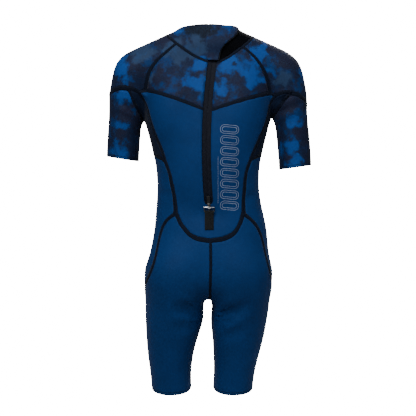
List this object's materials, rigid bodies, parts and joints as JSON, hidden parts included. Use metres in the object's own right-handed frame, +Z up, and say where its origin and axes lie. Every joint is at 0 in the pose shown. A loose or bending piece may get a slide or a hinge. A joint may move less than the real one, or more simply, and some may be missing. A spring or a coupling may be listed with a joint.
{
  "type": "wetsuit",
  "caption": "Short-sleeved, short-legged foam rubber wetsuit with a back zip, a fold-over collar tab and a webbing pull, worn in the water to keep warm.",
  "frame": {"origin": "middle of the neck opening at the collar's base, where a hanger or the wearer's neck holds the suit up", "axes": "+Z up along the body, -Y towards the wearer's back and the zip, -X towards the wearer's left hand"},
  "size_m": [0.5334, 0.2493, 0.9428],
  "materials": {
    "plain_panel": "navy nylon jersey on foam rubber, matt with a soft sheen",
    "printed_panel": "jersey printed with a blue, navy and brown camouflage",
    "black_panel": "black nylon jersey on foam rubber",
    "binding": "black stretch tape",
    "zip_tape": "charcoal woven tape",
    "zip_teeth": "black moulded teeth",
    "slider_paint": "black painted zinc",
    "bright_metal": "bright plated metal",
    "webbing": "charcoal ribbed webbing",
    "hook_and_loop": "black hook-and-loop tape"
  },
  "bodies": {
    "suit": {"back_panel": "plain_panel", "front_body": "plain_panel", "front_chest": "printed_panel", "yoke_left": "printed_panel", "yoke_right": "printed_panel", "shoulder_left": "printed_panel", "shoulder_right": "printed_panel", "sleeve_left": "printed_panel", "sleeve_right": "printed_panel", "underarm_panel_left": "printed_panel", "underarm_panel_right": "printed_panel", "side_panel_left": "plain_panel", "side_panel_right": "plain_panel", "seat_and_leg_left": "plain_panel", "seat_and_leg_right": "plain_panel", "front_leg_left": "plain_panel", "front_leg_right": "plain_panel", "collar_left": "printed_panel", "collar_right": "black_panel", "collar_front": "printed_panel", "collar_binding": "binding", "loop_patch": "hook_and_loop", "sleeve_hem_tape_left": "binding", "sleeve_hem_tape_right": "binding", "leg_hem_tape_left": "binding", "leg_hem_tape_right": "binding", "backing_flap": "black_panel", "zip_tape_left": "zip_tape", "zip_tape_right": "zip_tape", "zip_teeth_left": "zip_teeth", "zip_teeth_right": "zip_teeth", "zip_top_stop_left": "slider_paint", "zip_top_stop_right": "slider_paint", "zip_bottom_stop": "slider_paint"},
    "slider": {"slider_body": "slider_paint", "slider_link": "bright_metal"},
    "ring": {"pull_ring": "bright_metal"},
    "leash": {"leash": "webbing"},
    "tab": {"collar_tab": "printed_panel", "collar_tab_binding": "binding", "hook_patch": "hook_and_loop"}
  },
  "joints": [
    {"name": "zip_run", "type": "hinge", "parent": "suit", "child": "slider", "pos_m": [0.25111, 0.48396, -0.265], "axis": [-0.9171, 0.3986, 0], "range_deg": [0, 30]},
    {"name": "ring_swing", "type": "hinge", "parent": "slider", "child": "ring", "pos_m": [0.003, -0.09067, -0.41267], "axis": [-1, 0, 0], "range_deg": [0, 100]},
    {"name": "leash_swing", "type": "hinge", "parent": "ring", "child": "leash", "pos_m": [0.003, -0.09254, -0.4232], "axis": [-1, 0, 0], "range_deg": [0, 65]},
    {"name": "tab_fold", "type": "hinge", "parent": "suit", "child": "tab", "pos_m": [-0.0031, -0.0702, -0.0006], "axis": [0, -0.1809, -0.9835], "range_deg": [0, 120]}
  ]
}
